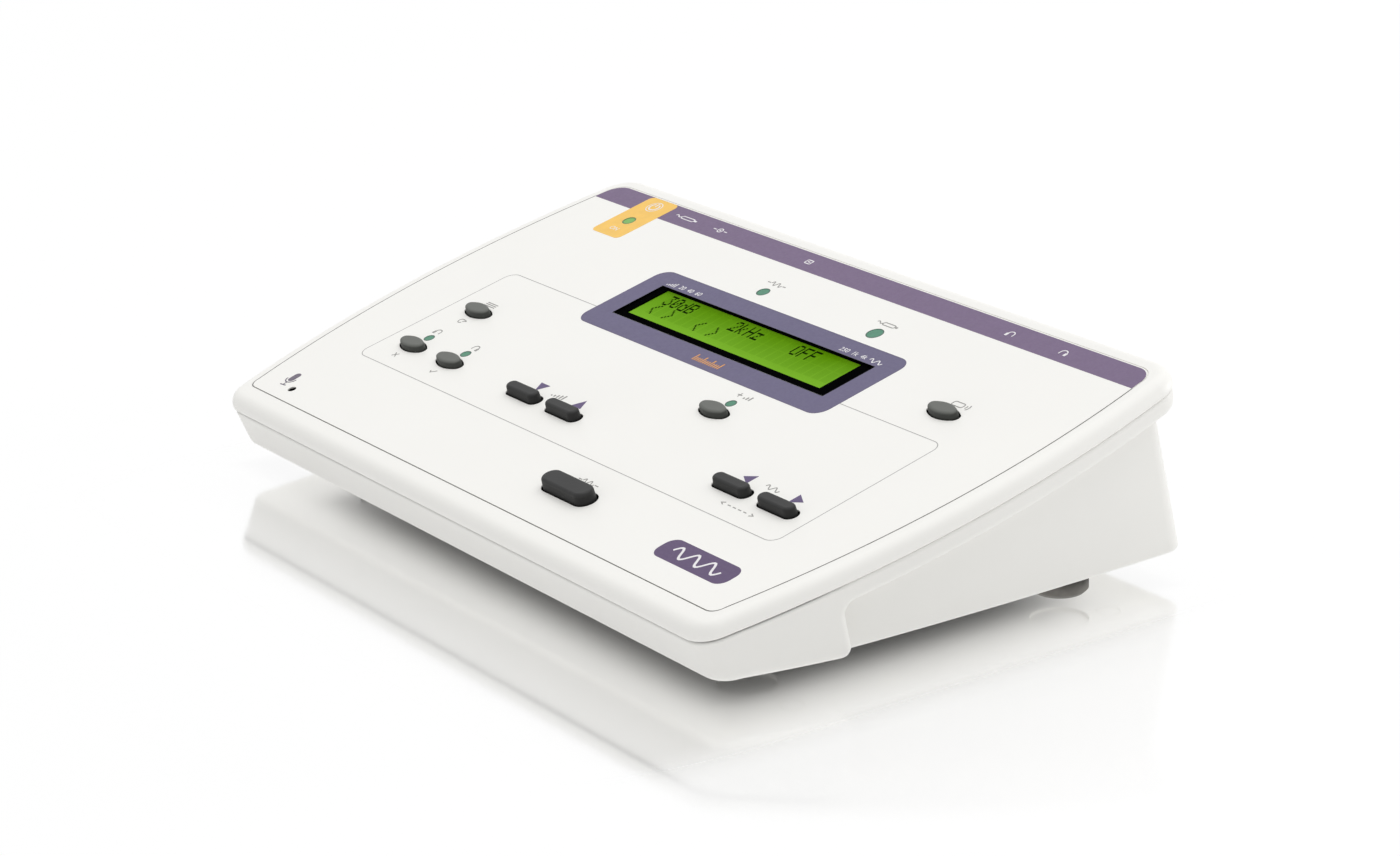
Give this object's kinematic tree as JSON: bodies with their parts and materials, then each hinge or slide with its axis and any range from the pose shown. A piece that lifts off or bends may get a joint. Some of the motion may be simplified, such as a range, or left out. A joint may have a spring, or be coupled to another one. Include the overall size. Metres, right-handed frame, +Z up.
{
  "type": "audiometer",
  "caption": "Bench-top screening audiometer with a sloping keypad panel, a backlit text display, status lights, rear sockets and a rocker power switch.",
  "frame": {"origin": "on the table, under the middle of the case", "axes": "+X to the operator's right, +Y to the back with the sockets, +Z up; the panel slopes up to the back at 14 degrees"},
  "size_m": [0.27, 0.16, 0.0623],
  "materials": {
    "case_white": "fine spark texture, warm white",
    "case_grey": "fine spark texture, pale warm grey",
    "foot_rubber": "moulded black rubber",
    "screw_steel": "zinc plated",
    "overlay_film": "printed polyester film, satin",
    "clear_window": "clear acrylic",
    "lcd_black_frame": "black painted steel",
    "lcd_green": "yellow-green backlit liquid crystal cell",
    "backlight_white": "milky light guide",
    "board_green": "green solder mask",
    "connector_black": "black nylon",
    "lens_teal": "tinted acrylic light pipe",
    "led_epoxy": "diffused epoxy",
    "can_aluminium": "drawn can",
    "chip_black": "moulded epoxy package",
    "shield_tin": "tin plated sheet",
    "ribbon_grey": "grey ribbon cable",
    "nut_nickel": "nickel plated",
    "rocker_black": "black polycarbonate",
    "key_grey": "mid-grey silicone rubber",
    "key_black": "dark grey silicone rubber",
    "plunger_black": "black nylon"
  },
  "bodies": {
    "audiometer_case": {"audio_converters": "chip_black", "case_screws": "screw_steel", "display_window": "clear_window", "electrolytic_capacitors": "can_aluminium", "indicator_leds": "led_epoxy", "indicator_lenses": "lens_teal", "jack_nuts": "nut_nickel", "key_switches": "connector_black", "lcd_backlight": "backlight_white", "lcd_board": "board_green", "lcd_frame": "lcd_black_frame", "lcd_glass": "lcd_green", "lcd_header": "connector_black", "lcd_screws": "screw_steel", "left_ear_jack": "connector_black", "link_cable": "ribbon_grey", "lower_case": "case_grey", "main_board": "board_green", "main_board_screws": "screw_steel", "memory_chip": "chip_black", "microphone": "can_aluminium", "microphone_boot": "foot_rubber", "output_amplifiers": "chip_black", "panel_overlay": "overlay_film", "power_inlet": "connector_black", "power_switch": "connector_black", "processor_shield": "shield_tin", "response_jack": "connector_black", "right_ear_jack": "connector_black", "rubber_feet": "foot_rubber", "signal_processor": "chip_black", "socket_board": "board_green", "socket_board_screws": "screw_steel", "upper_case": "case_white", "usb_socket": "shield_tin", "voltage_regulator": "chip_black"},
    "menu_key": {"key_menu": "key_grey", "plunger_menu": "plunger_black"},
    "left_key": {"key_left": "key_grey", "plunger_left": "plunger_black"},
    "right_key": {"key_right": "key_grey", "plunger_right": "plunger_black"},
    "boost_key": {"key_boost": "key_grey", "plunger_boost": "plunger_black"},
    "talk_over_key": {"key_talk_over": "key_grey", "plunger_talk_over": "plunger_black"},
    "level_down_key": {"key_level_down": "key_black", "plunger_level_down": "plunger_black"},
    "level_up_key": {"key_level_up": "key_black", "plunger_level_up": "plunger_black"},
    "frequency_down_key": {"key_frequency_down": "key_black", "plunger_frequency_down": "plunger_black"},
    "frequency_up_key": {"key_frequency_up": "key_black", "plunger_frequency_up": "plunger_black"},
    "present_key": {"key_present": "key_black", "plunger_present": "plunger_black"},
    "power_rocker": {"power_rocker": "rocker_black"}
  },
  "joints": [
    {"name": "press_menu", "type": "slide", "parent": "audiometer_case", "child": "menu_key", "axis": [0, -0.2419, 0.9703], "range_m": [-0.0006, 0], "stiffness_N_per_m": 120, "springref_m": 0.0004},
    {"name": "press_left", "type": "slide", "parent": "audiometer_case", "child": "left_key", "axis": [0, -0.2419, 0.9703], "range_m": [-0.0006, 0], "stiffness_N_per_m": 120, "springref_m": 0.0004},
    {"name": "press_right", "type": "slide", "parent": "audiometer_case", "child": "right_key", "axis": [0, -0.2419, 0.9703], "range_m": [-0.0006, 0], "stiffness_N_per_m": 120, "springref_m": 0.0004},
    {"name": "press_boost", "type": "slide", "parent": "audiometer_case", "child": "boost_key", "axis": [0, -0.2419, 0.9703], "range_m": [-0.0006, 0], "stiffness_N_per_m": 120, "springref_m": 0.0004},
    {"name": "press_talk_over", "type": "slide", "parent": "audiometer_case", "child": "talk_over_key", "axis": [0, -0.2419, 0.9703], "range_m": [-0.0006, 0], "stiffness_N_per_m": 120, "springref_m": 0.0004},
    {"name": "press_level_down", "type": "slide", "parent": "audiometer_case", "child": "level_down_key", "axis": [0, -0.2419, 0.9703], "range_m": [-0.0006, 0], "stiffness_N_per_m": 120, "springref_m": 0.0004},
    {"name": "press_level_up", "type": "slide", "parent": "audiometer_case", "child": "level_up_key", "axis": [0, -0.2419, 0.9703], "range_m": [-0.0006, 0], "stiffness_N_per_m": 120, "springref_m": 0.0004},
    {"name": "press_frequency_down", "type": "slide", "parent": "audiometer_case", "child": "frequency_down_key", "axis": [0, -0.2419, 0.9703], "range_m": [-0.0006, 0], "stiffness_N_per_m": 120, "springref_m": 0.0004},
    {"name": "press_frequency_up", "type": "slide", "parent": "audiometer_case", "child": "frequency_up_key", "axis": [0, -0.2419, 0.9703], "range_m": [-0.0006, 0], "stiffness_N_per_m": 120, "springref_m": 0.0004},
    {"name": "press_present", "type": "slide", "parent": "audiometer_case", "child": "present_key", "axis": [0, -0.2419, 0.9703], "range_m": [-0.001, 0], "stiffness_N_per_m": 200, "springref_m": 0.0004},
    {"name": "rocker_tilt", "type": "hinge", "parent": "audiometer_case", "child": "power_rocker", "pos_m": [-0.09903, 0.07198, 0.03405], "axis": [1, 0, 0], "range_deg": [0, 16]}
  ]
}
